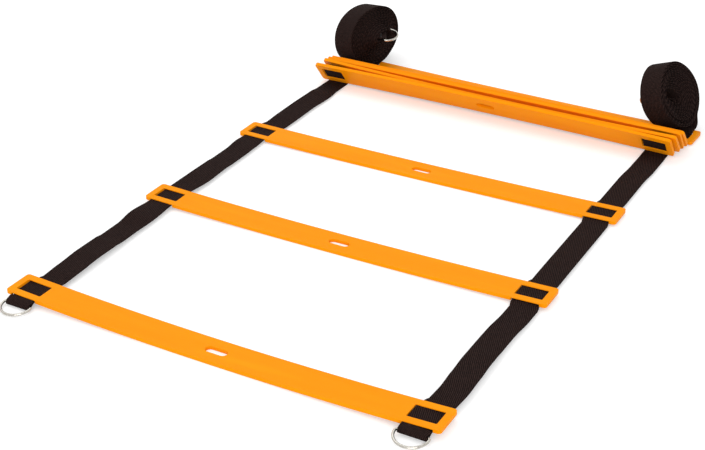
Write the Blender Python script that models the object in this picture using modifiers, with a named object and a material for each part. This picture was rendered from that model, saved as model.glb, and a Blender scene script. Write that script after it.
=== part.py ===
"""An agility ladder: eight flat moulded rungs threaded on two webbing straps.

Three rungs lie spread on the floor, four lean together in a bunch, and the last one lies flat
under the spare webbing, which is wound in a roll on each side. Each strap ends in a D-ring, one
lying in front of the first rung and one held in the middle of the roll.

Metres, +Z up. The rungs run along X, the straps along Y, and the floor is z = 0. The origin is
the middle of the footprint. Run it with blender --background --python part.py, or from the text
editor.
"""

from math import acos, asin, atan2, ceil, cos, pi, radians, sin

import bmesh
import bpy
from mathutils import Matrix, Vector

# Webbing
STRAP_WIDTH = 0.025
STRAP_THICK = 0.0010
GAP = 0.0003
SIDE_GAP = 0.0005
SEAM_GAP = 0.0003

# Rungs
RUNG_LENGTH = 0.420
RUNG_WIDTH = 0.030
CROSSBAR_THICK = 0.0009
CROSSBAR_WIDTH = 0.0065
RIM_THICK = 0.0009
WINDOW_WIDTH = 0.0165
END_MARGIN = 0.0064
HAND_SLOT_LENGTH = 0.021
HAND_SLOT_WIDTH = 0.008
CORNER_RADIUS = 0.0028
EDGE_RADIUS = 0.0005
EDGE_ANGLE = radians(60.0)
CUT_OVERRUN = 0.002
SLOT_END_SHARE = 0.999
WELD_SHARE = 0.01

# Places along the straps, from the middle of the first rung
SECOND_RUNG_PLACE = 0.1985
THIRD_RUNG_PLACE = 0.3635
BUNCH_PLACE = 0.5194
BUNCH_COUNT = 4
BUNCH_PITCH = 0.0090
BUNCH_TILT = radians(126.0)
BUNCH_SHIFT = 0.003
RIM_TURN_GAP = 0.0003
TOP_TURN_RADIUS = 0.0016
TOP_TURN_DROP = 0.0050
BUNCH_ENTRY = 0.024
LAST_RUNG_GAP = 0.0060
LAST_RUNG_SHIFT = 0.0095
LAST_TURN_LEAD = 0.0024

# D-rings and the folded ends that hold them
RING_WIRE_RADIUS = 0.0012
RING_INNER_WIDTH = 0.026
RING_DEPTH = 0.0155
RING_CORNER = 0.002
FOLD_CLEARANCE = 0.00035
PLY_GAP = 0.0008
PLY_LENGTH = 0.006
RING_PLACE = 0.0215

# Stitches
THREAD_RADIUS = 0.00025
STITCH_WIDTH = 0.021
STITCH_PITCH = 0.0015
STITCH_REACH = 0.0022

# Rolls of spare webbing
CORE_HALF_LENGTH = 0.0130
CORE_HALF_HEIGHT = 0.0065
POINTS_A_TURN = 24
OUTER_END_ANGLE = radians(-50.0)
TAIL_LEAD = 0.002
TAIL_REACH = 0.026
TAIL_POINTS = 12
CORE_FOLD_ALONG = 0.0060
CORE_FOLD_DROP = 0.0035
CORE_PLY_END_ALONG = 0.0025
CORE_PLY_END_DROP = 0.0044
CORE_RING_LIFT = radians(15.0)
RIGHT_ROLL = {
    "side": 1, "aside": -0.0150, "behind": 0.0119, "long": 0.0383, "high": 0.0340, "turns": 16,
    "yaw": radians(-10.0), "tilt": radians(21.5), "slant": radians(-39.0), "lean": -0.010,
}
LEFT_ROLL = {
    "side": -1, "aside": -0.0052, "behind": 0.0285, "long": 0.0440, "high": 0.0338, "turns": 15,
    "yaw": radians(-11.5), "tilt": radians(4.0), "slant": radians(-4.0), "lean": 0.016,
}

# Curve steps
ARC_STEP = radians(20.0)
CORNER_STEPS = 3
CORNER_SEGMENTS = 4
SLOT_END_SEGMENTS = 5
RING_ARC_STEPS = 18
WIRE_ROUND_STEPS = 2
THREAD_ROUND_STEPS = 1

# What follows from the sizes above
RUNG_THICK = CROSSBAR_THICK + 2 * GAP + STRAP_THICK + RIM_THICK
STRAP_LEVEL = CROSSBAR_THICK + GAP + STRAP_THICK / 2
WINDOW_LENGTH = STRAP_WIDTH + 2 * SIDE_GAP
STRAP_OFFSET = RUNG_LENGTH / 2 - END_MARGIN - WINDOW_LENGTH / 2
RIM_MIDDLE = RUNG_THICK - RIM_THICK / 2
RIM_TURN_RADIUS = RIM_MIDDLE - STRAP_LEVEL
BUNCH_HEIGHT = RIM_TURN_RADIUS + STRAP_THICK / 2 + RIM_TURN_GAP + (RUNG_THICK - RIM_MIDDLE) * cos(BUNCH_TILT)
FOLD_RADIUS = RING_WIRE_RADIUS + FOLD_CLEARANCE + STRAP_THICK / 2
PLY_PITCH = STRAP_THICK + PLY_GAP
RING_LEVEL = STRAP_LEVEL + PLY_PITCH / 2
RING_DIP = asin((RING_LEVEL - RING_WIRE_RADIUS) / RING_DEPTH)
LAST_RUNG_FRONT = BUNCH_PLACE + (BUNCH_COUNT - 1) * BUNCH_PITCH + RUNG_THICK * sin(BUNCH_TILT) + LAST_RUNG_GAP
LAST_RUNG_PLACE = LAST_RUNG_FRONT + RUNG_WIDTH / 2

ORANGE = (1.0, 0.30, 0.02, 1.0)
WEBBING_DARK = (0.012, 0.009, 0.008, 1.0)
THREAD_DARK = (0.02, 0.017, 0.016, 1.0)
RING_METAL = (0.75, 0.75, 0.77, 1.0)


def clear_scene():
    for obj in list(bpy.data.objects):
        bpy.data.objects.remove(obj, do_unlink=True)


def new_collection(name, shown=True):
    collection = bpy.data.collections.new(name)
    bpy.context.scene.collection.children.link(collection)
    collection.hide_render = not shown
    return collection


def new_material(name, colour, roughness, metallic=0.0):
    material = bpy.data.materials.new(name)
    material.use_nodes = True
    shader = material.node_tree.nodes["Principled BSDF"]
    shader.inputs["Base Color"].default_value = colour
    shader.inputs["Roughness"].default_value = roughness
    shader.inputs["Metallic"].default_value = metallic
    material.diffuse_color = colour
    return material


def place(name, mesh, collection, material, parent=None):
    """An object for this mesh, with a material of its own named after it."""
    obj = bpy.data.objects.new(name, mesh)
    collection.objects.link(obj)
    obj.parent = parent
    finish = material.copy()
    finish.name = name + "_finish"
    if not mesh.materials:
        mesh.materials.append(None)
    obj.material_slots[0].link = "OBJECT"
    obj.material_slots[0].material = finish
    return obj


def new_empty(name, collection, location, parent):
    empty = bpy.data.objects.new(name, None)
    empty.location = location
    empty.parent = parent
    collection.objects.link(empty)
    return empty


def box(name, size, middle, collection):
    """A box of this size round this middle, with its scale in the mesh."""
    bm = bmesh.new()
    bmesh.ops.create_cube(bm, size=1.0)
    bmesh.ops.scale(bm, vec=size, verts=bm.verts)
    bmesh.ops.translate(bm, vec=middle, verts=bm.verts)
    mesh = bpy.data.meshes.new(name)
    bm.to_mesh(mesh)
    bm.free()
    obj = bpy.data.objects.new(name, mesh)
    collection.objects.link(obj)
    return obj


def upright_edges(mesh):
    bm = bmesh.new()
    bm.from_mesh(mesh)
    weights = bm.edges.layers.float.new("bevel_weight_edge")
    for edge in bm.edges:
        along = edge.verts[0].co - edge.verts[1].co
        edge[weights] = 1.0 if along.x == along.y == 0 else 0.0
    bm.to_mesh(mesh)
    bm.free()


def evaluated_mesh(obj, name):
    """The mesh of an object with its modifiers or its bevel carried out, welded into one skin."""
    bpy.context.view_layer.update()
    graph = bpy.context.evaluated_depsgraph_get()
    mesh = bpy.data.meshes.new_from_object(obj.evaluated_get(graph))
    mesh.name = name
    bm = bmesh.new()
    bm.from_mesh(mesh)
    bmesh.ops.remove_doubles(bm, verts=bm.verts, dist=EDGE_RADIUS * WELD_SHARE)
    bm.to_mesh(mesh)
    bm.free()
    return mesh


def as_cutter(obj):
    obj.hide_render = True
    obj.display_type = "WIRE"
    return obj


def cut(obj, cutter):
    modifier = obj.modifiers.new("cut_" + cutter.name, "BOOLEAN")
    modifier.operation = "DIFFERENCE"
    modifier.solver = "EXACT"
    modifier.object = cutter


def hand_slot_cutter(collection):
    """An upright bar with round ends that cuts the slot in the middle of a rung."""
    height = RUNG_THICK + 2 * CUT_OVERRUN
    slot = box("hand_slot", (HAND_SLOT_LENGTH, HAND_SLOT_WIDTH, height), (0, 0, RUNG_THICK / 2), collection)
    upright_edges(slot.data)
    bevel = slot.modifiers.new("round_ends", "BEVEL")
    bevel.limit_method = "WEIGHT"
    bevel.width = HAND_SLOT_WIDTH / 2 * SLOT_END_SHARE
    bevel.segments = SLOT_END_SEGMENTS
    return as_cutter(slot)


def window_cutters(side, collection):
    """Boxes for one window: its upper opening, and the notch under each rim that the strap passes."""
    x = side * STRAP_OFFSET
    opening_height = RUNG_THICK - CROSSBAR_THICK + CUT_OVERRUN
    opening = box(
        "window_opening", (WINDOW_LENGTH, WINDOW_WIDTH, opening_height),
        (x, 0, CROSSBAR_THICK + opening_height / 2), collection,
    )
    cutters = [opening]
    notch_top = RUNG_THICK - RIM_THICK
    notch_width = RUNG_WIDTH / 2 - CROSSBAR_WIDTH / 2 + CUT_OVERRUN
    for end in (-1, 1):
        y = end * (CROSSBAR_WIDTH / 2 + notch_width / 2)
        size = (WINDOW_LENGTH, notch_width, notch_top + CUT_OVERRUN)
        cutters.append(box("rim_notch", size, (x, y, (notch_top - CUT_OVERRUN) / 2), collection))
    return [as_cutter(cutter) for cutter in cutters]


def rung_mesh(collection):
    """A rung lying flat: x along it, y across it from its middle, and z up from its underside."""
    plate = box("rung_plate", (RUNG_LENGTH, RUNG_WIDTH, RUNG_THICK), (0, 0, RUNG_THICK / 2), collection)
    upright_edges(plate.data)
    corners = plate.modifiers.new("round_corners", "BEVEL")
    corners.limit_method = "WEIGHT"
    corners.width = CORNER_RADIUS
    corners.segments = CORNER_SEGMENTS
    edges = plate.modifiers.new("eased_edges", "BEVEL")
    edges.limit_method = "ANGLE"
    edges.angle_limit = EDGE_ANGLE
    edges.width = EDGE_RADIUS
    edges.segments = 1
    cutters = [hand_slot_cutter(collection)]
    for side in (-1, 1):
        cutters += window_cutters(side, collection)
    for cutter in cutters:
        cut(plate, cutter)
    mesh = evaluated_mesh(plate, "rung")
    bpy.data.objects.remove(plate)
    return mesh


def ring_route():
    """The closed middle line of a D-ring: x along its bar, y away from the bar."""
    half = RING_INNER_WIDTH / 2 + RING_WIRE_RADIUS
    right = []
    for step in range(CORNER_STEPS):
        angle = -pi / 2 + pi / 2 * step / CORNER_STEPS
        right.append((half - RING_CORNER + RING_CORNER * cos(angle), RING_CORNER + RING_CORNER * sin(angle)))
    left = [(-x, y) for x, y in reversed(right)]
    arc = []
    for step in range(RING_ARC_STEPS + 1):
        angle = pi * step / RING_ARC_STEPS
        arc.append((half * cos(angle), RING_CORNER + (RING_DEPTH - RING_CORNER) * sin(angle)))
    return right + arc + left


def tube_mesh(name, points, radius, rounds, closed):
    """A round wire along these points, as a welded mesh."""
    curve = bpy.data.curves.new(name, "CURVE")
    curve.dimensions = "3D"
    curve.bevel_depth = radius
    curve.bevel_resolution = rounds
    curve.use_fill_caps = not closed
    spline = curve.splines.new("POLY")
    spline.points.add(len(points) - 1)
    for point, where in zip(spline.points, points):
        point.co = (*where, 1.0)
    spline.use_cyclic_u = closed
    guide = bpy.data.objects.new(name, curve)
    bpy.context.scene.collection.objects.link(guide)
    mesh = evaluated_mesh(guide, name)
    bpy.data.objects.remove(guide)
    mesh.shade_smooth()
    return mesh


def ring_mesh():
    """A D-ring with its bar along x through the origin and its bow towards +y."""
    return tube_mesh("d_ring", [(x, y, 0) for x, y in ring_route()], RING_WIRE_RADIUS, WIRE_ROUND_STEPS, True)


def stitch_mesh():
    """A zigzag seam across the strap, lying on the xy plane."""
    count = int(STITCH_WIDTH / STITCH_PITCH)
    points = []
    for step in range(count + 1):
        x = -STITCH_WIDTH / 2 + STITCH_WIDTH * step / count
        points.append((x, STITCH_REACH / 2 * (1 if step % 2 else -1), 0))
    return tube_mesh("seam", points, THREAD_RADIUS, THREAD_ROUND_STEPS, False)


def turn_point(pin, travel):
    """Where a route that turns round this pin runs in this direction."""
    (centre, radius, turn) = pin
    left = Vector((-travel.y, travel.x))
    return centre - left * (turn * radius)


def tangent_direction(pin, following):
    """The direction of the straight run from one pin to the next."""
    reach = following[0] - pin[0]
    spread = acos((following[2] * following[1] - pin[2] * pin[1]) / reach.length)
    heading = atan2(reach.y, reach.x) + spread - pi / 2
    return Vector((cos(heading), sin(heading)))


def route_round(pins):
    """Points of a strap pulled round pins, each a centre, a radius and a turn: 1 is left, -1 is right.

    The coordinates are (y, z). A pin of no radius is a plain point. Between two pins the strap runs
    straight, and round each pin it bends in equal small steps.
    """
    travels = [tangent_direction(pin, following) for pin, following in zip(pins, pins[1:])]
    points = [turn_point(pins[0], travels[0])]
    for pin, before, after in zip(pins[1:-1], travels, travels[1:]):
        if pin[1] == 0:
            points.append(pin[0])
            continue
        start = atan2(before.y, before.x)
        sweep = (atan2(after.y, after.x) - start) * pin[2] % (2 * pi)
        steps = max(2, ceil(sweep / ARC_STEP))
        for step in range(steps + 1):
            heading = start + pin[2] * sweep * step / steps
            points.append(turn_point(pin, Vector((cos(heading), sin(heading)))))
    points.append(turn_point(pins[-1], travels[-1]))
    return points


def plain(y, z):
    return (Vector((y, z)), 0.0, 1)


def ribbon_mesh(name, stations):
    """An open band between the two edges of a strap; Solidify gives it its thickness."""
    bm = bmesh.new()
    edges = []
    for middle, across in stations:
        half = across * (STRAP_WIDTH / 2)
        edges.append((bm.verts.new(middle - half), bm.verts.new(middle + half)))
    for (a, b), (c, d) in zip(edges, edges[1:]):
        bm.faces.new((a, b, d, c))
    mesh = bpy.data.meshes.new(name)
    bm.to_mesh(mesh)
    bm.free()
    return mesh


def strap(name, stations, collection, material, parent):
    """A flat strap along stations, each a middle point and the direction across the strap."""
    obj = place(name, ribbon_mesh(name, stations), collection, material, parent)
    body = obj.modifiers.new("webbing_thickness", "SOLIDIFY")
    body.thickness = STRAP_THICK
    body.offset = 0.0
    body.use_even_offset = True
    return obj


def flat_stations(points, x):
    return [(Vector((x, point.x, point.y)), Vector((1, 0, 0))) for point in points]


def front_run_route():
    """From the cut end of the folded ply, round the ring's bar, and back along the rungs."""
    bar = -RING_PLACE
    return route_round([
        plain(bar + PLY_LENGTH, STRAP_LEVEL + PLY_PITCH),
        (Vector((bar, RING_LEVEL)), FOLD_RADIUS, 1),
        plain(bar + PLY_LENGTH, STRAP_LEVEL),
        plain(BUNCH_PLACE - BUNCH_ENTRY - SEAM_GAP / 2, STRAP_LEVEL),
    ])


def bunch_pivot(index):
    """The floor side of a bunched rung's lower edge, as (y, z)."""
    return Vector((BUNCH_PLACE + index * BUNCH_PITCH, BUNCH_HEIGHT))


def on_bunched_rung(index, along, above):
    """A point in (y, z) on a leaning rung: along its width from the low edge, and above its underside."""
    up = Vector((cos(BUNCH_TILT), sin(BUNCH_TILT)))
    out = Vector((-sin(BUNCH_TILT), cos(BUNCH_TILT)))
    return bunch_pivot(index) + up * along + out * (above - RUNG_THICK)


def top_turn(index):
    """The middle of the strap's turn behind a leaning rung, a little below the rung's top edge."""
    return on_bunched_rung(index, RUNG_WIDTH - TOP_TURN_DROP, STRAP_LEVEL - TOP_TURN_RADIUS)


def bunch_route():
    """Up through each leaning rung, over behind it, and down to the foot of the next."""
    pins = [plain(BUNCH_PLACE - BUNCH_ENTRY + SEAM_GAP / 2, STRAP_LEVEL)]
    for index in range(BUNCH_COUNT):
        pins.append((on_bunched_rung(index, 0, RIM_MIDDLE), RIM_TURN_RADIUS, 1))
        pins.append((top_turn(index), TOP_TURN_RADIUS, -1))
    last_turn = Vector((LAST_RUNG_FRONT - LAST_TURN_LEAD, STRAP_LEVEL + RIM_TURN_RADIUS))
    pins.append((last_turn, RIM_TURN_RADIUS, 1))
    pins.append(plain(LAST_RUNG_FRONT - SEAM_GAP, STRAP_LEVEL))
    return route_round(pins)


def bunch_stations(side):
    """The bunched run's stations, drawn aside to follow the rungs that have crept sideways."""
    points = bunch_route()
    top = top_turn(BUNCH_COUNT - 1).y
    highest = max(index for index, point in enumerate(points) if point.y > top)
    behind = points[highest:]
    whole = sum((after - before).length for before, after in zip(behind, behind[1:]))
    run = 0.0
    stations = []
    for index, point in enumerate(points):
        if index > highest:
            run += (point - points[index - 1]).length
        share = run / whole
        aside = BUNCH_SHIFT if index else 0.0
        aside += (LAST_RUNG_SHIFT - BUNCH_SHIFT) * share * share * (3 - 2 * share)
        stations.append((Vector((side * STRAP_OFFSET + aside, point.x, point.y)), Vector((1, 0, 0))))
    return stations


def roll_sizes(roll):
    """How many turns a roll has from its core to its outer end, and how far each turn steps out."""
    turns = roll["turns"] + (roll["slant"] - pi / 2 - OUTER_END_ANGLE) / (2 * pi)
    return {
        "turns": turns,
        "long_step": (roll["long"] - CORE_HALF_LENGTH) / turns,
        "high_step": (roll["high"] - CORE_HALF_HEIGHT) / turns,
    }


def roll_point(roll, sizes, turn):
    """A point of the winding in (y, z) from the roll's middle, this many turns out from the core.

    The core is an oval, long along the slant. Its long half and its high half each grow by a step of
    their own at every turn.
    """
    angle = -pi / 2 - 2 * pi * turn
    point = Vector((
        (CORE_HALF_LENGTH + sizes["long_step"] * turn) * cos(angle),
        (CORE_HALF_HEIGHT + sizes["high_step"] * turn) * sin(angle),
    ))
    return point @ Matrix.Rotation(roll["slant"], 2).transposed()


def core_pins(roll):
    """Round the far ring's bar inside the core, from the winding's inner end to the cut end."""
    turned = Matrix.Rotation(roll["slant"], 2)
    spots = [
        (Vector((0, -CORE_HALF_HEIGHT)), 0.0),
        (Vector((CORE_FOLD_ALONG, -CORE_FOLD_DROP)), FOLD_RADIUS),
        (Vector((-CORE_PLY_END_ALONG, -CORE_PLY_END_DROP)), 0.0),
    ]
    return [(turned @ spot, radius, 1) for spot, radius in spots]


def roll_middle(roll, sizes):
    """The roll's middle in (y, z): it stands on the last rung, on one edge of its webbing if tilted."""
    count = int(sizes["turns"] * POINTS_A_TURN)
    low = min(roll_point(roll, sizes, step / POINTS_A_TURN).y for step in range(count))
    reach = (STRAP_THICK / 2 - low) * cos(roll["tilt"]) + STRAP_WIDTH / 2 * sin(abs(roll["tilt"]))
    return Vector((LAST_RUNG_FRONT + roll["behind"], RUNG_THICK + GAP + reach))


def roll_turn(roll, share=1.0):
    """How a roll stands: turned about the upright by its yaw, then tilted so that one face looks up."""
    return Matrix.Rotation(roll["yaw"] * share, 3, "Z") @ Matrix.Rotation(-roll["tilt"] * share, 3, "Y")


def tail_route(start, start_travel, end, end_travel):
    """A smooth run between two places, leaving and arriving in the given directions."""
    points = []
    for step in range(1, TAIL_POINTS):
        t = step / TAIL_POINTS
        points.append(
            start * (2 * t ** 3 - 3 * t ** 2 + 1) + start_travel * (t ** 3 - 2 * t ** 2 + t)
            + end * (3 * t ** 2 - 2 * t ** 3) + end_travel * (t ** 3 - t ** 2)
        )
    return points


def roll_route(roll):
    """The roll's strap from under the last rung to its cut end, as (y, z), a turn weight and a core weight.

    The turn weight is 0 on the floor and 1 in the winding, which stands turned. The core weight is 0
    in the outermost turn and 1 in the core, which is pushed aside.
    """
    sizes = roll_sizes(roll)
    middle = roll_middle(roll, sizes)
    steps = int(sizes["turns"] * POINTS_A_TURN)
    winding = [step / POINTS_A_TURN for step in range(steps, -1, -1)]
    outer = middle + roll_point(roll, sizes, winding[0])
    next_in = middle + roll_point(roll, sizes, winding[1])
    rear = Vector((LAST_RUNG_FRONT + RUNG_WIDTH + TAIL_LEAD, STRAP_LEVEL))
    travel = (next_in - outer).normalized() * TAIL_REACH
    tail = tail_route(rear, Vector((TAIL_REACH, 0)), outer, travel)
    route = [(Vector((LAST_RUNG_FRONT, STRAP_LEVEL)), 0.0, 0.0), (rear, 0.0, 0.0)]
    for index, point in enumerate(tail):
        share = (index + 1) / TAIL_POINTS
        route.append((point, share * share * (3 - 2 * share), 0.0))
    for turn in winding[:-1]:
        route.append((middle + roll_point(roll, sizes, turn), 1.0, (1 - turn / winding[0]) ** 2))
    for point in route_round(core_pins(roll)):
        route.append((middle + point, 1.0, 1.0))
    return route


def on_roll(roll, middle, point, turned, pushed):
    """A point of the roll's strap and the direction across it, as the roll stands."""
    turn = roll_turn(roll, turned)
    centre_x = roll["side"] * STRAP_OFFSET + LAST_RUNG_SHIFT + roll["aside"] * turned
    inside = Vector((roll["lean"] * pushed, point.x - middle.x, point.y - middle.y))
    return Vector((centre_x, middle.x, middle.y)) + turn @ inside, turn.col[0]


def least_gap(points):
    """The least free gap between one turn and the next, over all points of the winding."""
    far = POINTS_A_TURN // 2
    least = None
    for index, point in enumerate(points):
        for other, following in zip(points[index + far:], points[index + far + 1:]):
            run = following - other
            share = min(max((point - other).dot(run) / run.length_squared, 0), 1)
            gap = (point - other - run * share).length - STRAP_THICK
            least = gap if least is None else min(least, gap)
    return least


def lay_seam(obj, start, end, roll=None, middle=None):
    """Puts a seam on the right hand face of a ply that runs from start to end in (y, z)."""
    run = (end - start).normalized()
    left = Vector((-run.y, run.x))
    spot = (start + end) / 2 - left * (STRAP_THICK / 2 + GAP + THREAD_RADIUS)
    turn_about_x = Matrix.Rotation(atan2(run.y, run.x), 4, "X")
    if roll is None:
        obj.matrix_local = Matrix.Translation((obj.location.x, spot.x, spot.y)) @ turn_about_x
        return
    where, across = on_roll(roll, middle, spot, 1.0, 1.0)
    obj.matrix_local = Matrix.Translation(where) @ roll_turn(roll).to_4x4() @ turn_about_x


def build_rungs(collection, cutters, frame, orange):
    mesh = rung_mesh(cutters)
    for number, y in enumerate((0, SECOND_RUNG_PLACE, THIRD_RUNG_PLACE), start=1):
        rung = place(f"rung_{number}", mesh, collection, orange, frame)
        rung.location = (0, y, 0)
    for index in range(BUNCH_COUNT):
        pivot = bunch_pivot(index)
        number = index + 4
        hinge = new_empty(f"rung_{number}_foot", collection, (BUNCH_SHIFT, pivot.x, pivot.y), frame)
        hinge.rotation_euler.x = BUNCH_TILT
        rung = place(f"rung_{number}", mesh, collection, orange, hinge)
        rung.location = (0, RUNG_WIDTH / 2, -RUNG_THICK)
    last = place(f"rung_{BUNCH_COUNT + 4}", mesh, collection, orange, frame)
    last.location = (LAST_RUNG_SHIFT, LAST_RUNG_PLACE, 0)


def build_side(name, roll, meshes, collection, frame, materials):
    """One strap with its roll, its two D-rings and its two seams."""
    x = roll["side"] * STRAP_OFFSET
    webbing, metal, thread = materials
    front = front_run_route()
    strap(f"{name}_strap", flat_stations(front, x), collection, webbing, frame)
    strap(f"{name}_strap_bunch", bunch_stations(roll["side"]), collection, webbing, frame)

    ring = place(f"{name}_front_ring", meshes["ring"], collection, metal, frame)
    ring.location = (x, -RING_PLACE, RING_LEVEL)
    ring.rotation_euler = (pi + RING_DIP, 0, 0)
    seam = place(f"{name}_front_seam", meshes["seam"], collection, thread, frame)
    seam.location.x = x
    lay_seam(seam, front[0], front[1])

    sizes = roll_sizes(roll)
    middle = roll_middle(roll, sizes)
    route = roll_route(roll)
    stations = [on_roll(roll, middle, point, turned, pushed) for point, turned, pushed in route]
    strap(f"{name}_strap_roll", stations, collection, webbing, frame)
    free = least_gap([point for point, turned, pushed in route])
    print(f"{name} roll: least gap to itself {free * 1000:.2f} mm")

    pins = core_pins(roll)
    bar, across = on_roll(roll, middle, middle + pins[1][0], 1.0, 1.0)
    lie = roll["slant"] + pi - CORE_RING_LIFT
    core_ring = place(f"{name}_end_ring", meshes["ring"], collection, metal, frame)
    core_ring.matrix_local = (
        Matrix.Translation(bar) @ roll_turn(roll).to_4x4() @ Matrix.Rotation(lie, 4, "X")
    )
    core_seam = place(f"{name}_end_seam", meshes["seam"], collection, thread, frame)
    lay_seam(core_seam, route[-2][0], route[-1][0], roll, middle)


def centre_footprint(collection, frame):
    """Moves the whole ladder so that the middle of its footprint is the origin."""
    bpy.context.view_layer.update()
    graph = bpy.context.evaluated_depsgraph_get()
    spots = []
    for obj in collection.objects:
        if obj.type == "MESH":
            shape = obj.evaluated_get(graph)
            spots += [shape.matrix_world @ vertex.co for vertex in shape.data.vertices]
    for axis in (0, 1):
        places = [spot[axis] for spot in spots]
        frame.location[axis] = -(min(places) + max(places)) / 2


def main():
    clear_scene()
    ladder = new_collection("agility_ladder")
    cutters = new_collection("cutters", shown=False)
    frame = new_empty("footprint_middle", ladder, (0, 0, 0), None)
    orange = new_material("orange_polypropylene", ORANGE, 0.38)
    webbing = new_material("dark_webbing", WEBBING_DARK, 0.85)
    metal = new_material("plated_steel", RING_METAL, 0.15, 1.0)
    thread = new_material("dark_thread", THREAD_DARK, 0.8)

    build_rungs(ladder, cutters, frame, orange)
    meshes = {"ring": ring_mesh(), "seam": stitch_mesh()}
    for name, roll in (("left", LEFT_ROLL), ("right", RIGHT_ROLL)):
        build_side(name, roll, meshes, ladder, frame, (webbing, metal, thread))
    centre_footprint(ladder, frame)


main()
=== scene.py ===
"""An agility ladder on a white floor: satin orange rungs, dark woven webbing, bright D-rings.

Metres, +Z up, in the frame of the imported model. Each strap, roll, ring and rung is worked out as
arrays of points: a webbing band is one flat oval profile carried along a route in the upright
plane of the strap, and a rung is a cut plate that is then bowed.
"""

from math import acos, asin, atan2, cos, hypot, pi, radians, sin

import bmesh
import bpy
import numpy as np
from mathutils import Matrix, Vector


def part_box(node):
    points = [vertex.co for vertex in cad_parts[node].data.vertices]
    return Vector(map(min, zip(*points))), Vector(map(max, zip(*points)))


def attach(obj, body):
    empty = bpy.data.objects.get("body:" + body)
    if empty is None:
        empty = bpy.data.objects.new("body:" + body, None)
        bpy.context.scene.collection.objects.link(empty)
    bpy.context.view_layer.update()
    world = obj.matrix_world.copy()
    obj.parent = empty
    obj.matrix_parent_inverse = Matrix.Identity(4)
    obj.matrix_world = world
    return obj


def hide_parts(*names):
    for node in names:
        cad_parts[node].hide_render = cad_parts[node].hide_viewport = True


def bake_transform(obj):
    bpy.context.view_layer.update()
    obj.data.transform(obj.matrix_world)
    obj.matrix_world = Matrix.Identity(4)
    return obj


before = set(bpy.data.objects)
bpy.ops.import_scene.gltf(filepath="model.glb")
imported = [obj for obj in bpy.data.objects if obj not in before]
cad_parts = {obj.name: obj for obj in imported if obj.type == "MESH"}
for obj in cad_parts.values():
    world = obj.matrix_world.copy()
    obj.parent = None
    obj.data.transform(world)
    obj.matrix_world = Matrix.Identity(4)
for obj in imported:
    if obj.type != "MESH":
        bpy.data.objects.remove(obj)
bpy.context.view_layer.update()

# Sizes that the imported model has
STRAP_WIDTH = 0.025
STRAP_THICK = 0.0010
GAP = 0.0003
SIDE_GAP = 0.0005
RUNG_LENGTH = 0.420
RUNG_WIDTH = 0.030
CROSSBAR_THICK = 0.0009
CROSSBAR_WIDTH = 0.0065
RIM_THICK = 0.0009
WINDOW_WIDTH = 0.0165
END_MARGIN = 0.0064
HAND_SLOT_LENGTH = 0.021
HAND_SLOT_WIDTH = 0.008
RUNG_PLACES = (0.0, 0.1985, 0.3635)
BUNCH_PLACE = 0.5194
BUNCH_TILT = radians(126.0)
BUNCH_ENTRY = 0.024
RIM_TURN_GAP = 0.0003
TOP_TURN_DROP = 0.0066
LAST_RUNG_FRONT = 0.55515
LAST_RUNG_SHIFT = 0.0095
RING_WIRE_RADIUS = 0.0012
RING_INNER_WIDTH = 0.026
RING_DEPTH = 0.0155
RING_CORNER = 0.002
FOLD_CLEARANCE = 0.00035
PLY_GAP = 0.0008
PLY_LENGTH = 0.006
RING_PLACE = 0.0215
CORE_HALF_LENGTH = 0.0130
CORE_HALF_HEIGHT = 0.0065
OUTER_END_ANGLE = radians(-50.0)
TAIL_LEAD = 0.002
TAIL_REACH = 0.026
CORE_FOLD_ALONG = 0.0060
CORE_FOLD_DROP = 0.0035
CORE_PLY_END_ALONG = 0.0025
CORE_PLY_END_DROP = 0.0044
CORE_RING_LIFT = radians(15.0)
# Each roll has its middle's place aside and behind, its long and high half, its turns and its yaw,
# tilt and core slant. Lean is how far its core stands out, and box is how far its corners bulge.
RIGHT_ROLL = {
    "side": 1, "aside": -0.0150, "behind": 0.0119, "long": 0.0383, "high": 0.0340, "turns": 16,
    "yaw": radians(-10.0), "tilt": radians(21.5), "slant": radians(-39.0), "lean": -0.010,
    "box": 0.014, "box_turn": radians(-50.0),
}
LEFT_ROLL = {
    "side": -1, "aside": -0.0050, "behind": 0.0285, "long": 0.0450, "high": 0.0333, "turns": 15,
    "yaw": radians(-10.0), "tilt": radians(6.5), "slant": radians(0.0), "lean": 0.016,
    "box": 0.010, "box_turn": radians(-44.0),
}

# What follows from them
RUNG_THICK = CROSSBAR_THICK + 2 * GAP + STRAP_THICK + RIM_THICK
STRAP_LEVEL = CROSSBAR_THICK + GAP + STRAP_THICK / 2
WINDOW_LENGTH = STRAP_WIDTH + 2 * SIDE_GAP
STRAP_OFFSET = RUNG_LENGTH / 2 - END_MARGIN - WINDOW_LENGTH / 2
RIM_MIDDLE = RUNG_THICK - RIM_THICK / 2
RIM_TURN_RADIUS = RIM_MIDDLE - STRAP_LEVEL
BUNCH_HEIGHT = RIM_TURN_RADIUS + STRAP_THICK / 2 + RIM_TURN_GAP + (RUNG_THICK - RIM_MIDDLE) * cos(BUNCH_TILT)
FOLD_RADIUS = RING_WIRE_RADIUS + FOLD_CLEARANCE + STRAP_THICK / 2
PLY_PITCH = STRAP_THICK + PLY_GAP
RING_LEVEL = STRAP_LEVEL + PLY_PITCH / 2
RING_DIP = asin((RING_LEVEL - RING_WIRE_RADIUS) / RING_DEPTH)
FIRST_RUNG_MIDDLE = [(low + high) / 2 for low, high in zip(*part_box("rung_1"))]

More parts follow.
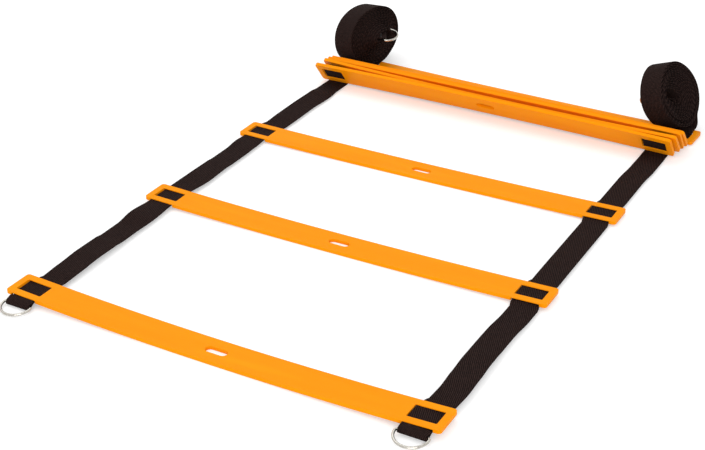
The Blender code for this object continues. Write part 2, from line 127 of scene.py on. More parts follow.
# Finer shape that only the dressed ladder has
CORNER_RADIUS = 0.0030
SLOT_ROUNDING = 0.999
WINDOW_CORNER_SHARE = 0.30
EDGE_RADIUS = 0.0006
RUNG_LIFTS = (0.0056, 0.0033, 0.0021)
CROSSBAR_SUNK = 0.0004
CLOSED_NOTCH = 0.0115
SELVEDGE_RADIUS = 0.00055
LAST_TURN_RUN = 0.003
CORE_RING_DEPTH = 0.011
TURN_UNEVENNESS = 0.0008
EVEN_TURNS = 0.5
THREAD_RADIUS = 0.00025
STITCH_WIDTH = 0.021
STITCH_PITCH = 0.0015
STITCH_REACH = 0.0022
STITCH_RISE = 1.6
STITCH_SINK = 0.8
CROSSBAR_END = (RUNG_WIDTH + CROSSBAR_WIDTH) / 2
WINDOW_END = (RUNG_WIDTH + WINDOW_WIDTH) / 2
OVER_RIM = RUNG_THICK - STRAP_LEVEL + STRAP_THICK / 2 + GAP

# How finely each shape is drawn
CORNER_SEGMENTS = 6
SLOT_SEGMENTS = 8
WINDOW_CORNER_SEGMENTS = 3
EDGE_SEGMENTS = 3
BOW_STEP = 0.010
FACE_COLUMNS = 9
EDGE_COLUMNS = 4
FRONT_ARC_POINTS = 24
FRONT_STEP = 0.0004
FRONT_POINTS = 120
PLAIN_SKIP = 4
BUNCH_ARC_POINTS = 12
BUNCH_STEP = 0.0006
UNDER_POINTS = 20
TAIL_STEPS = 30
ROLL_STEPS_A_TURN = 60
LOW_STEPS_A_TURN = 24
CORE_POINTS = 13
LEAD_STEPS = 24
LOOP_POINTS = 20
RING_CORNER_POINTS = 6
RING_BOW_POINTS = 49
RING_STEP = 0.0007
RING_SIDES = 16
STITCH_STEPS = 6
THREAD_SIDES = 8
CHANCE_SEED = 20

# Pitches of the weave and of the thread's twist, the ribs' share in the weave's height, and the
# height's share in the webbing's colour: painted shade, darker in the weave's hollows and lighter on its
# tops
TWILL_PITCH = 0.0016
TWILL_SLANT = 0.0055
YARN_PITCH = 0.0012
RIB_SHARE = 0.6
HEIGHT_SHADE_SHARE = 0.45
THREAD_PLIES = 3
THREAD_TWIST = 0.0011

# The photograph's viewpoint, and the floor's half width
CAMERA_LENS = 72.09
CAMERA_LOOK = (-0.43903, 0.75397, -0.48866)
CAMERA_RIGHT = (0.86899, 0.4945, -0.01776)
CAMERA_PLACE = (0.5746, -0.7635, 0.6492)
FLOOR_REACH = 6.0


def linear(colour):
    """Linear light from an sRGB hex colour such as "#F7941D"."""
    parts = [int(colour[i:i + 2], 16) / 255 for i in (1, 3, 5)]
    return (*[p / 12.92 if p <= 0.04045 else ((p + 0.055) / 1.055) ** 2.4 for p in parts], 1.0)


def add(tree, kind, settings=None, **inputs):
    """A node of this kind: settings are its own, and inputs are values or sockets to link, by name."""
    node = tree.nodes.new("ShaderNode" + kind)
    for name, value in (settings or {}).items():
        setattr(node, name, value)
    for name, value in inputs.items():
        socket = node.inputs[int(name[1:]) if name[1:].isdigit() else name.replace("_", " ")]
        if isinstance(value, bpy.types.NodeSocket):
            tree.links.new(value, socket)
        else:
            socket.default_value = value
    return node


def finish(name, colour, roughness, **values):
    """A new material with its shader set, and its node tree and shader."""
    material = bpy.data.materials.new(name)
    material.use_nodes = True
    shader = material.node_tree.nodes["Principled BSDF"]
    shader.inputs["Base Color"].default_value = linear(colour)
    shader.inputs["Roughness"].default_value = roughness
    for key, value in values.items():
        shader.inputs[key.replace("_", " ")].default_value = value
    material.diffuse_color = linear(colour)
    return material, material.node_tree, shader


def colour_ramp(tree, factor, stops):
    """A ramp between sRGB hex colours at these places."""
    ramp = add(tree, "ValToRGB", Fac=factor)
    elements = ramp.color_ramp.elements
    for element, (place, colour) in zip(elements, stops):
        element.position = place
        element.color = linear(colour)
    for place, colour in stops[len(elements):]:
        elements.new(place).color = linear(colour)
    return ramp.outputs["Color"]


def maths(tree, operation, *terms):
    """The value of a maths node on these numbers or sockets."""
    inputs = {f"_{place}": term for place, term in enumerate(terms)}
    return add(tree, "Math", {"operation": operation}, **inputs).outputs["Value"]


def wave(tree, parts):
    """A smooth ridge from 0 to 1 and back, for each whole turn of the sum of sockets times pitches."""
    total = None
    for socket, pitch in parts:
        piece = maths(tree, "MULTIPLY", socket, 2 * pi * pitch)
        total = piece if total is None else maths(tree, "ADD", total, piece)
    return maths(tree, "MULTIPLY_ADD", maths(tree, "SINE", total), 0.5, 0.5)


def bumps(tree, height, distance, strength):
    """The normals of a surface whose small bumps follow this height."""
    return add(tree, "Bump", Height=height, Distance=distance, Strength=strength).outputs["Normal"]


def drive(tree, shader, **sockets):
    """Links each socket to the shader's input of that name."""
    for name, socket in sockets.items():
        tree.links.new(socket, shader.inputs[name.replace("_", " ")])


def orange_polypropylene():
    """Injection-moulded polypropylene, a satin texture etched in the mould.

    It gives the eye an even, warm orange with a soft broad highlight, a little light inside the
    wall, faint flow marks along the rung and duller scuffs.
    """
    material, tree, shader = finish(
        "orange_polypropylene_satin", "#FA9606", 0.44, IOR=1.49, Specular_IOR_Level=0.04,
        Subsurface_Weight=0.10, Subsurface_Scale=0.0012, Subsurface_Radius=(1.0, 0.45, 0.12),
    )
    place = add(tree, "TexCoord").outputs["Object"]
    along = add(tree, "Mapping", Vector=place, Scale=(9.0, 90.0, 90.0)).outputs["Vector"]
    flow = add(tree, "TexNoise", Vector=along, Scale=1.0, Detail=3.0, Roughness=0.5).outputs["Fac"]
    colour = colour_ramp(tree, flow, [(0.30, "#F99204"), (0.55, "#FA9506"), (0.75, "#FB9A08")])
    # The etched grain is near 0.1 mm, drawn at 0.6 mm so that it shows.
    grain = add(tree, "TexNoise", Vector=place, Scale=1600.0, Detail=2.0).outputs["Fac"]
    scuff = add(tree, "TexNoise", Vector=along, Scale=7.0, Detail=6.0, Roughness=0.7).outputs["Fac"]
    rough = add(
        tree, "MapRange", Value=scuff, From_Min=0.35, From_Max=0.75, To_Min=0.36, To_Max=0.50,
    ).outputs["Result"]
    normal = bumps(tree, grain, distance=0.00006, strength=0.35)
    drive(tree, shader, Base_Color=colour, Roughness=rough, Normal=normal)
    return material


def dark_webbing():
    """Flat polypropylene webbing, a close twill in dark brown-black yarn.

    Slanting ribs stand side by side over the face, with the yarns slanting across them. The colour
    follows the weave's height as painted shade, darker in its hollows and lighter on its tops, with
    random fuzz, and a faint grey-brown sheen lies over the tops. It reads the band's own map, in metres.
    """
    material, tree, shader = finish(
        "dark_brown_webbing_twill", "#241C1A", 0.8, IOR=1.45, Specular_IOR_Level=0.05,
        Sheen_Weight=0.02, Sheen_Roughness=0.45, Sheen_Tint=linear("#8C7A74"),
    )
    band = add(tree, "SeparateXYZ", Vector=add(tree, "UVMap").outputs["UV"]).outputs
    ribs = wave(tree, [(band["X"], 1 / TWILL_PITCH), (band["Y"], 1 / TWILL_SLANT)])
    yarns = wave(tree, [(band["X"], 1 / TWILL_PITCH), (band["Y"], -1 / YARN_PITCH)])
    height = maths(tree, "MULTIPLY_ADD", ribs, RIB_SHARE, maths(tree, "MULTIPLY", ribs, yarns))
    fuzz = add(
        tree, "TexNoise", Vector=add(tree, "TexCoord").outputs["Object"], Scale=900.0, Detail=3.0,
    ).outputs["Fac"]
    # Painted shade: the weave's height darkens the colour in its hollows and lightens it on its tops.
    hollow_shade_and_fuzz = maths(tree, "MULTIPLY_ADD", height, HEIGHT_SHADE_SHARE, fuzz)
    colour = colour_ramp(tree, hollow_shade_and_fuzz, [(0.36, "#0B0505"), (0.70, "#1A1110"), (1.0, "#3B2B27")])
    drive(tree, shader, Base_Color=colour, Normal=bumps(tree, height, distance=0.0003, strength=0.8))
    return material


def nickel_plate():
    """Bright nickel-plated steel wire, drawn and tumbled.

    It gives the eye a clean, slightly warm mirror with fine rubbed marks that blur it here and there.
    """
    material, tree, shader = finish("bright_nickel_plated_steel", "#B9B4AC", 0.14, Metallic=1.0)
    place = add(tree, "TexCoord").outputs["Object"]
    rubbed = add(tree, "TexNoise", Vector=place, Scale=700.0, Detail=4.0).outputs["Fac"]
    rough = add(
        tree, "MapRange", Value=rubbed, From_Min=0.3, From_Max=0.7, To_Min=0.09, To_Max=0.24,
    ).outputs["Result"]
    colour = colour_ramp(tree, rubbed, [(0.3, "#A8A39B"), (0.6, "#C6C2BA")])
    normal = bumps(tree, rubbed, distance=0.00004, strength=0.25)
    drive(tree, shader, Base_Color=colour, Roughness=rough, Normal=normal)
    return material


def twisted_thread():
    """Bonded polyester sewing thread in three twisted plies: near black, with a faint silky edge."""
    material, tree, shader = finish("dark_bonded_thread", "#2A2423", 0.55, Sheen_Weight=0.2)
    wire = add(tree, "SeparateXYZ", Vector=add(tree, "UVMap").outputs["UV"]).outputs
    plies = wave(tree, [(wire["X"], THREAD_PLIES), (wire["Y"], 1 / THREAD_TWIST)])
    # Painted shade: the colour is darker in the grooves between the plies and lighter on their crowns.
    colour = colour_ramp(tree, plies, [(0.1, "#1B1615"), (0.9, "#3A3230")])
    drive(tree, shader, Base_Color=colour, Normal=bumps(tree, plies, distance=0.00008, strength=0.6))
    return material


def to_ladder(points):
    """Points measured from the middle of the first rung's underside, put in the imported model's frame."""
    return points + np.array([FIRST_RUNG_MIDDLE[0], FIRST_RUNG_MIDDLE[1], 0.0])


def put_piece(name, mesh, material, body, node):
    """An object for this mesh at the origin, that stands for a node and may ride with a body."""
    piece = bpy.data.objects.new(name, mesh)
    bpy.context.scene.collection.objects.link(piece)
    mesh.materials.clear()
    mesh.materials.append(material)
    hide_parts(node)
    if body:
        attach(piece, body)
    return piece


def skin_mesh(name, rings, closed_route, profile_map, route_map):
    """A closed skin through rings of points, one ring for each step of the route.

    rings is (steps, places, 3). The quad at step i and place j joins places j and j + 1 of steps
    i and i + 1, and places wrap round. An open route gets a flat cap at each end. The two maps give
    each ring place and each step its coordinate in metres, for the piece's own map.
    """
    steps, places = rings.shape[:2]
    step = np.arange(steps if closed_route else steps - 1)[:, None]
    place = np.arange(places)[None, :]
    following, beside = (step + 1) % steps, (place + 1) % places
    quads = np.stack([
        step * places + place, following * places + place,
        following * places + beside, step * places + beside,
    ], axis=-1).reshape(-1, 4)
    faces = quads.tolist()
    if not closed_route:
        faces.append(list(range(places)))
        faces.append(list(range((steps - 1) * places, steps * places))[::-1])
    mesh = bpy.data.meshes.new(name)
    mesh.from_pydata(rings.reshape(-1, 3), [], faces)
    corners = np.empty(len(mesh.loops), int)
    mesh.loops.foreach_get("vertex_index", corners)
    flat = np.stack([profile_map[corners % places], route_map[corners // places]], axis=-1)
    mesh.uv_layers.new(name="band").data.foreach_set("uv", flat.ravel())
    if signed_volume(rings.reshape(-1, 3), quads) < 0:
        mesh.flip_normals()
    mesh.shade_smooth()
    mesh.update()
    return mesh


def signed_volume(points, quads):
    """Six times the volume inside a skin of quads: positive where the faces point outwards."""
    a, b, c, d = (points[quads[:, k]] for k in range(4))
    return float((a * np.cross(b, c)).sum() + (a * np.cross(c, d)).sum())


def unit(vectors):
    """These vectors with a length of one."""
    return vectors / np.linalg.norm(vectors, axis=-1, keepdims=True)


def travel_of(points, closed=False):
    """The direction of travel at each point: from the point before it to the one after it."""
    if closed:
        return unit(np.roll(points, -1, 0) - np.roll(points, 1, 0))
    return unit(np.gradient(points, axis=0))


def run_length(points):
    """How far along the route each point lies."""
    return np.concatenate([[0.0], np.cumsum(np.linalg.norm(np.diff(points, axis=0), axis=1))])


def respaced(points, step, *others):
    """The route again with points an equal small step apart; others are values carried along it."""
    run = run_length(points)
    marks = np.linspace(0, run[-1], max(2, int(run[-1] / step) + 1))
    route = np.stack([np.interp(marks, run, points[:, k]) for k in range(points.shape[1])], axis=-1)
    return [route] + [np.interp(marks, run, other) for other in others]


def band_profile():
    """The webbing's cut section: places across it, and above its middle.

    Two straight faces are joined by a half round selvedge at each side.
    """
    half, flat = STRAP_WIDTH / 2, STRAP_WIDTH / 2 - SELVEDGE_RADIUS
    face = np.linspace(-flat, flat, FACE_COLUMNS)
    turn = np.linspace(pi / 2, -pi / 2, EDGE_COLUMNS + 2)[1:-1]
    edge_across = flat + (half - flat) * np.cos(turn)
    edge_above = STRAP_THICK / 2 * np.sin(turn)
    across = np.concatenate([face, edge_across, face[::-1], -edge_across])
    above = np.concatenate([
        np.full(FACE_COLUMNS, STRAP_THICK / 2), edge_above,
        np.full(FACE_COLUMNS, -STRAP_THICK / 2), -edge_above,
    ])
    return across, above


def webbing_mesh(name, middles, across, start=0.0, travel=None):
    """A band of webbing: the profile stands square to the travel at every point of the route.

    middles is (n, 3), and across (n, 3) points across the band. A profile point is the middle, plus
    across times its place across, plus the face direction times its place above, where the face
    direction is across x travel.
    """
    travel = travel_of(middles) if travel is None else travel
    across = unit(across - travel * (across * travel).sum(-1, keepdims=True))
    face = np.cross(across, travel)
    sideways, above = band_profile()
    rings = (
        middles[:, None] + across[:, None] * sideways[None, :, None] + face[:, None] * above[None, :, None]
    )
    return skin_mesh(name, to_ladder(rings), False, sideways, start + run_length(middles))


def round_wire_mesh(name, middles, radius, closed, sides):
    """A round wire: a circle of this radius, square to the travel, with no twist from point to point.

    The first direction out is square to the travel, and each next one is the one before it with its
    part along the travel taken away.
    """
    travel = travel_of(middles, closed)
    out = np.empty_like(travel)
    guess = np.cross(travel[0], [0.0, 0.0, 1.0])
    if np.linalg.norm(guess) < 0.1:
        guess = np.cross(travel[0], [1.0, 0.0, 0.0])
    for index, direction in enumerate(travel):
        guess = guess - direction * (guess @ direction)
        guess = guess / np.linalg.norm(guess)
        out[index] = guess
    beside = np.cross(travel, out)
    angle = np.linspace(0, 2 * pi, sides, endpoint=False)
    rings = middles[:, None] + radius * (
        out[:, None] * np.cos(angle)[None, :, None] + beside[:, None] * np.sin(angle)[None, :, None]
    )
    return skin_mesh(name, to_ladder(rings), closed, angle / (2 * pi), run_length(middles))


def turn_point(pin, heading):
    """Where a strap that turns round this pin runs in this heading.

    It is the pin's centre, plus the radius square to the heading.
    """
    centre, radius, turn = pin
    return centre + turn * radius * np.stack([np.sin(heading), -np.cos(heading)], axis=-1)


def run_heading(pin, following):
    """The heading of the straight run that touches two pins."""
    reach = following[0] - pin[0]
    spread = acos((following[2] * following[1] - pin[2] * pin[1]) / hypot(*reach))
    return atan2(reach[1], reach[0]) + spread - pi / 2


def strap_route(pins, arc_points):
    """(y, z) points of a strap pulled round pins, and the pin of each point.

    A pin is a centre, a radius and a turn: 1 to the left, -1 to the right. Round each pin the strap
    bends in equal steps, and between two pins it runs straight.
    """
    headings = [run_heading(pin, following) for pin, following in zip(pins, pins[1:])]
    parts = [turn_point(pins[0], np.array([headings[0]]))]
    for pin, before, after in zip(pins[1:-1], headings, headings[1:]):
        sweep = (after - before) * pin[2] % (2 * pi)
        bend = before + pin[2] * np.linspace(0, sweep, arc_points)
        parts.append(turn_point(pin, bend) if pin[1] else pin[0][None])
    parts.append(turn_point(pins[-1], np.array([headings[-1]])))
    return np.concatenate(parts), np.repeat(np.arange(len(parts)), [len(part) for part in parts])


def plain(y, z):
    """A pin of no size, for a strap that only passes this point."""
    return (np.array([y, z]), 0.0, 1)


def bow_at(x, lift):
    """How far a bowed rung stands up at x: the lift, times the square of the share of the way out."""
    return lift * (x / (RUNG_LENGTH / 2)) ** 2


def rung_plate(rear_notch):
    """The flat rung: a plate with rounded corners, a hand slot, two windows and their rim notches.

    rear_notch is how far the strap's groove runs out toward the rear edge, from the rung's middle.
    """
    plate = block("rung_plate", (RUNG_LENGTH, RUNG_WIDTH, RUNG_THICK), (0, 0, RUNG_THICK / 2))
    round_uprights(plate, CORNER_RADIUS, CORNER_SEGMENTS)
    tall = RUNG_THICK + 2 * CORNER_RADIUS
    slot = block("hand_slot", (HAND_SLOT_LENGTH, HAND_SLOT_WIDTH, tall), (0, 0, RUNG_THICK / 2))
    round_uprights(slot, HAND_SLOT_WIDTH / 2 * SLOT_ROUNDING, SLOT_SEGMENTS)
    cutters = [slot]
    for x in (-STRAP_OFFSET, STRAP_OFFSET):
        floor = CROSSBAR_THICK - CROSSBAR_SUNK
        window = block("window", (WINDOW_LENGTH, WINDOW_WIDTH, tall), (x, 0, floor + tall / 2))
        round_uprights(window, CORNER_RADIUS * WINDOW_CORNER_SHARE, WINDOW_CORNER_SEGMENTS)
        cutters.append(window)
        roof = RUNG_THICK - RIM_THICK
        for side, reach in ((-1, RUNG_WIDTH / 2 + CORNER_RADIUS), (1, rear_notch)):
            size = (WINDOW_LENGTH, reach - CROSSBAR_WIDTH / 2, roof + CORNER_RADIUS)
            middle = (x, side * (reach + CROSSBAR_WIDTH / 2) / 2, (roof - CORNER_RADIUS) / 2)
            cutters.append(block("rim_notch", size, middle))
    for cutter in cutters:
        cut = plate.modifiers.new("cut", "BOOLEAN")
        cut.operation = "DIFFERENCE"
        cut.solver = "EXACT"
        cut.object = cutter
    edges = plate.modifiers.new("eased_edges", "BEVEL")
    edges.limit_method = "ANGLE"
    edges.angle_limit = radians(50.0)
    edges.width = EDGE_RADIUS
    edges.segments = EDGE_SEGMENTS
    mesh = carried_out(plate)
    for piece in [plate] + cutters:
        bpy.data.objects.remove(piece, do_unlink=True)
    return mesh


def block(name, size, middle):
    """A rectangular block, each corner the middle plus or minus half the size, to cut with."""
    signs = np.array([(x, y, z) for x in (-1, 1) for y in (-1, 1) for z in (-1, 1)])
    corners = np.array(middle) + signs * np.array(size) / 2
    faces = [(0, 1, 3, 2), (4, 6, 7, 5), (0, 4, 5, 1), (2, 3, 7, 6), (0, 2, 6, 4), (1, 5, 7, 3)]
    mesh = bpy.data.meshes.new(name)
    mesh.from_pydata(corners, [], faces)
    piece = bpy.data.objects.new(name, mesh)
    bpy.context.scene.collection.objects.link(piece)
    return piece


def round_uprights(piece, radius, segments):
    """Rounds the four upright edges of a block."""
    mesh = piece.data
    ends = np.array([mesh.edges[index].vertices[:] for index in range(len(mesh.edges))])
    places = np.array([vertex.co[:] for vertex in mesh.vertices])
    upright = np.linalg.norm((places[ends[:, 0]] - places[ends[:, 1]])[:, :2], axis=1) < 1e-9
    weights = mesh.attributes.new("bevel_weight_edge", "FLOAT", "EDGE")
    weights.data.foreach_set("value", upright.astype(np.float32))
    rounding = piece.modifiers.new("round_corners", "BEVEL")
    rounding.limit_method = "WEIGHT"
    rounding.width = radius
    rounding.segments = segments


def carried_out(piece):
    """The piece's mesh with its modifiers carried out, cut across at even steps so that it can bow."""
    bpy.context.view_layer.update()
    graph = bpy.context.evaluated_depsgraph_get()
    mesh = bpy.data.meshes.new_from_object(piece.evaluated_get(graph))
    welded = bmesh.new()
    welded.from_mesh(mesh)
    bmesh.ops.remove_doubles(welded, verts=welded.verts, dist=1e-6)
    for x in np.arange(-RUNG_LENGTH / 2 + BOW_STEP / 2, RUNG_LENGTH / 2, BOW_STEP):
        everything = welded.verts[:] + welded.edges[:] + welded.faces[:]
        bmesh.ops.bisect_plane(welded, geom=everything, plane_co=(x, 0, 0), plane_no=(1, 0, 0), dist=1e-7)
    welded.to_mesh(mesh)
    welded.free()
    return mesh


def rung_mesh(name, flat, stand):
    """A copy of the flat rung as it stands: bowed, tilted about its lower edge, turned and placed."""
    mesh = flat.copy()
    mesh.name = name
    points = np.empty(len(mesh.vertices) * 3)
    mesh.vertices.foreach_get("co", points)
    points = points.reshape(-1, 3)
    points[:, 2] += bow_at(points[:, 0], stand["bow"])
    if stand["tilt"]:
        points += np.array([0.0, RUNG_WIDTH / 2, -RUNG_THICK])
        points = points @ np.array(Matrix.Rotation(stand["tilt"], 3, "X").transposed())
    points = points @ np.array(Matrix.Rotation(stand["yaw"], 3, "Z").transposed())
    place = np.array([stand["aside"], stand["place"], stand["height"]])
    mesh.vertices.foreach_set("co", to_ladder(points + place).ravel())
    mesh.shade_smooth()
    mesh.update()
    return mesh


def add_rung(number, flat, stand, body, material):
    """One rung, shaded so that its flat faces look flat up to their eased edges."""
    name = f"rung_{number}_moulded"
    piece = put_piece(name, rung_mesh(name, flat, stand), material, body, f"rung_{number}")
    shading = piece.modifiers.new("even_faces", "WEIGHTED_NORMAL")
    shading.weight = 80


def standing(place, aside=0.0, yaw=0.0, tilt=0.0, bow=0.0, height=0.0, turn=0.0):
    """How a rung stands: its place along and across the straps, its yaw in radians, its tilt in degrees.

    Then how far its ends bow toward its face, its height, and the webbing's turn behind it.
    """
    return {
        "place": place, "aside": aside, "yaw": yaw, "tilt": radians(tilt), "bow": bow,
        "height": height, "turn": turn,
    }


BUNCHED_RUNGS = (
    standing(0.5187, 0.0019, -0.0187, 126.9, 0.0020, BUNCH_HEIGHT + 0.0007, 0.0016),
    standing(0.5255, 0.0054, -0.0334, 129.0, -0.0028, BUNCH_HEIGHT, 0.0016),
    standing(0.5375, 0.0055, -0.0210, 127.0, 0.0, BUNCH_HEIGHT, 0.0010),
    standing(0.5450, 0.0070, -0.0230, 130.5, 0.0, BUNCH_HEIGHT, 0.0016),
)
LAST_RUNG = standing(0.5682, 0.0100, -0.0350, 0.0, 0.0014)
LAST_RUNG_RAISED = bow_at(STRAP_OFFSET, LAST_RUNG["bow"])


def add_rungs(material):
    """All eight rungs. The leaning ones have no notch in their upper rim."""
    flat = rung_plate(RUNG_WIDTH / 2 + CORNER_RADIUS)
    for number, (y, lift) in enumerate(zip(RUNG_PLACES, RUNG_LIFTS), start=1):
        add_rung(number, flat, standing(y, bow=lift), f"rung_{number}", material)
    closed = rung_plate(CLOSED_NOTCH)
    for number, stand in enumerate(BUNCHED_RUNGS, start=4):
        add_rung(number, closed, stand, f"rung_{number}", material)
    add_rung(8, flat, LAST_RUNG, "straps_and_rolls", material)


# Where each flat strap runs: y, lift, aside, and the band's roll about its length in degrees
BUNCH_START = BUNCH_PLACE - BUNCH_ENTRY
BUNCH_ASIDE = 0.0028
LEFT_WANDER = [
    (-0.0245, 0.0000, 0.0, 0.0), (-0.0150, 0.0031, 0.0, 0.0), (-0.0080, 0.0046, 0.0, 0.0),
    (0.0080, 0.0046, 0.0, 0.0), (0.0150, 0.0033, 0.0005, 0.0), (0.0230, 0.0028, 0.0024, 2.0),
    (0.0420, 0.0041, 0.0030, 3.0), (0.0700, 0.0047, 0.0022, 3.0), (0.0960, 0.0044, 0.0022, 3.0),
    (0.1060, 0.0031, 0.0018, 2.0), (0.1290, 0.0028, 0.0014, 2.0), (0.1500, 0.0044, 0.0019, 11.0),
    (0.1850, 0.0027, 0.0, 0.0), (0.2120, 0.0027, 0.0, 0.0), (0.2450, 0.0033, 0.0025, 6.0),
    (0.2760, 0.0027, 0.0015, 3.0), (0.2870, 0.0020, 0.0015, 2.0), (0.3120, 0.0019, 0.0014, 2.0),
    (0.3300, 0.0026, 0.0010, 5.0), (0.3500, 0.0017, 0.0, 0.0), (0.3770, 0.0017, 0.0, 0.0),
    (0.3880, 0.0013, 0.0030, 3.0), (0.4080, 0.0022, 0.0038, 5.0), (0.4420, 0.0020, 0.0034, 4.5),
    (0.4750, 0.0020, 0.0048, 7.0), (BUNCH_START, 0.0, BUNCH_ASIDE, 0.0),
]
RIGHT_WANDER = [
    (-0.0245, 0.0011, 0.0, 0.0), (-0.0150, 0.0031, 0.0, 0.0), (-0.0080, 0.0046, 0.0, 0.0),
    (0.0080, 0.0046, 0.0, 0.0), (0.0150, 0.0030, 0.0006, 0.0), (0.0230, 0.0026, 0.0026, -3.0),
    (0.0400, 0.0034, 0.0038, -2.5), (0.0620, 0.0039, 0.0032, -1.0), (0.0840, 0.0040, 0.0023, -1.0),
    (0.0970, 0.0038, 0.0022, -1.0), (0.1070, 0.0030, 0.0018, 0.0), (0.1290, 0.0025, 0.0016, 0.0),
    (0.1600, 0.0017, 0.0028, 0.0), (0.1755, 0.0013, 0.0026, 0.0), (0.1835, 0.0018, 0.0005, 0.0),
    (0.1905, 0.0027, 0.0, 0.0), (0.2065, 0.0027, 0.0, 0.0), (0.2135, 0.0018, 0.0005, 0.0),
    (0.2220, 0.0013, 0.0024, 0.0), (0.2450, 0.0017, 0.0025, 0.0), (0.3200, 0.0009, 0.0021, 0.0),
    (0.3400, 0.0009, 0.0021, 0.0), (0.3485, 0.0012, 0.0005, 0.0), (0.3555, 0.0017, 0.0, 0.0),
    (0.3715, 0.0017, 0.0, 0.0), (0.3785, 0.0012, 0.0005, 0.0), (0.3880, 0.0009, 0.0018, 0.0),
    (0.4050, 0.0009, 0.0018, 0.0), (0.4400, 0.0007, 0.0016, 0.0), (0.4700, 0.0006, 0.0030, 0.0),
    (BUNCH_START, 0.0, BUNCH_ASIDE, 0.0),
]


def smooth(share):
    """A soft S from 0 to 1: 3 t^2 - 2 t^3."""
    return share * share * (3 - 2 * share)


def eased(marks, knots, values):
    """Values at these marks, passing from knot to knot in a soft S."""
    knots, values = np.array(knots), np.array(values)
    index = np.clip(np.searchsorted(knots, marks, side="right") - 1, 0, len(knots) - 2)
    share = smooth(np.clip((marks - knots[index]) / (knots[index + 1] - knots[index]), 0, 1))
    return values[index] * (1 - share) + values[index + 1] * share


def flat_strap(name, side, wander, material):
    """One strap from its folded front end, through rungs 1 to 3, to the foot of the bunch."""
    route = strap_route([
        plain(-RING_PLACE + PLY_LENGTH, STRAP_LEVEL + PLY_PITCH),
        (np.array([-RING_PLACE, RING_LEVEL]), FOLD_RADIUS, 1),
        plain(-RING_PLACE + PLY_LENGTH, STRAP_LEVEL),
        plain(BUNCH_START, STRAP_LEVEL),
    ], FRONT_ARC_POINTS)[0]
    route, = respaced(route, FRONT_STEP)
    last = len(route) - 1
    route = route[[*range(FRONT_POINTS), *range(FRONT_POINTS, last, PLAIN_SKIP), last]]
    knots, lifts, asides, rolls = zip(*wander)
    y = route[:, 0]
    lift, aside, roll = (eased(y, knots, values) for values in (lifts, asides, rolls))
    middles = np.stack([side * STRAP_OFFSET + aside, y, route[:, 1] + lift], axis=-1)
    roll = np.radians(roll)
    across = np.stack([np.cos(roll), np.zeros_like(roll), -np.sin(roll)], axis=-1)
    mesh = webbing_mesh(name, middles, across)
    piece = put_piece(name, mesh, material, "straps_and_rolls", f"{side_name(side)}_strap")


def side_name(side):
    return "left" if side < 0 else "right"


def on_bunched_rung(stand, side, along, above):
    """A point in (y, z) on a leaning rung at one strap: along its width, and above its underside."""
    up = np.array([cos(stand["tilt"]), sin(stand["tilt"])])
    out = np.array([-sin(stand["tilt"]), cos(stand["tilt"])])
    foot = np.array([stand["place"] + stand["yaw"] * side * STRAP_OFFSET, stand["height"]])
    return foot + up * along + out * (above - RUNG_THICK + bow_at(STRAP_OFFSET, stand["bow"]))


def last_rung_front(side):
    """Where the front edge of the last rung crosses this strap."""
    return LAST_RUNG["place"] + LAST_RUNG["yaw"] * side * STRAP_OFFSET - RUNG_WIDTH / 2


def bunched_strap(name, side, material):
    """One strap wound up through each leaning rung, over behind it, and down to the foot of the next.

    A short entry length stays on the floor. Then each rung has its own length, from the middle of
    the turn under its foot to the next. It leans with its rung as far as the turn at the top, and
    from there it stretches to the next foot.
    """
    pins, asides = [plain(BUNCH_START, STRAP_LEVEL)], [BUNCH_ASIDE]
    for stand in BUNCHED_RUNGS:
        pins.append((on_bunched_rung(stand, side, 0, RIM_MIDDLE), RIM_TURN_RADIUS, 1))
        top = on_bunched_rung(stand, side, RUNG_WIDTH - TOP_TURN_DROP, STRAP_LEVEL - stand["turn"])
        pins.append((top, stand["turn"], -1))
        asides += [stand["aside"]] * 2
    level = STRAP_LEVEL + LAST_RUNG_RAISED
    pins.append((np.array([last_rung_front(side), level + RIM_TURN_RADIUS]), RIM_TURN_RADIUS, 1))
    pins.append(plain(last_rung_front(side) + LAST_TURN_RUN, level))
    asides += [LAST_RUNG["aside"]] * 2
    points, pin_of = strap_route(pins, BUNCH_ARC_POINTS)
    route, aside, pin_of = respaced(points, BUNCH_STEP, np.array(asides)[pin_of], pin_of)
    middles = np.stack([side * STRAP_OFFSET + aside, route[:, 0], route[:, 1]], axis=-1)
    run = run_length(middles)
    entered = np.clip(run / BUNCH_ENTRY, 0, 1)[:, None]
    across = np.array([1.0, 0.0, 0.0]) + entered * np.array([0.0, BUNCHED_RUNGS[-1]["yaw"], 0.0])
    feet = np.arange(1, 2 * len(BUNCHED_RUNGS), 2)
    foot_middles = (np.searchsorted(pin_of, feet) + np.searchsorted(pin_of, feet, side="right")) // 2
    cuts = [0, *foot_middles, len(middles) - 1]
    tops = [0, *np.searchsorted(pin_of, feet + 1)]
    travel = travel_of(middles)
    node = f"{side_name(side)}_strap_bunch"
    # Number 3 is the entry, and the others have their rungs' numbers.
    for number, first, last, top in zip(range(3, 8), cuts, cuts[1:], tops):
        entry = number == 3
        length_name = f"{name}_entry" if entry else f"{name}_{number}"
        length = slice(first, last + 1)
        mesh = webbing_mesh(length_name, middles[length], across[length], run[first], travel[length])
        body = "straps_and_rolls" if entry else None
        piece = put_piece(length_name, mesh, material, body, node)
        if not entry:
            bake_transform(piece)


def roll_sizes(roll):
    """How many turns a roll has, and how far its long and its high half step out at each turn."""
    turns = roll["turns"] + (roll["slant"] - pi / 2 - OUTER_END_ANGLE) / (2 * pi)
    return turns, (roll["long"] - CORE_HALF_LENGTH) / turns, (roll["high"] - CORE_HALF_HEIGHT) / turns


def slanted(points, slant):
    """(y, z) points turned by the slant of the roll's core."""
    turned = np.array([[cos(slant), -sin(slant)], [sin(slant), cos(slant)]])
    return points @ turned.T


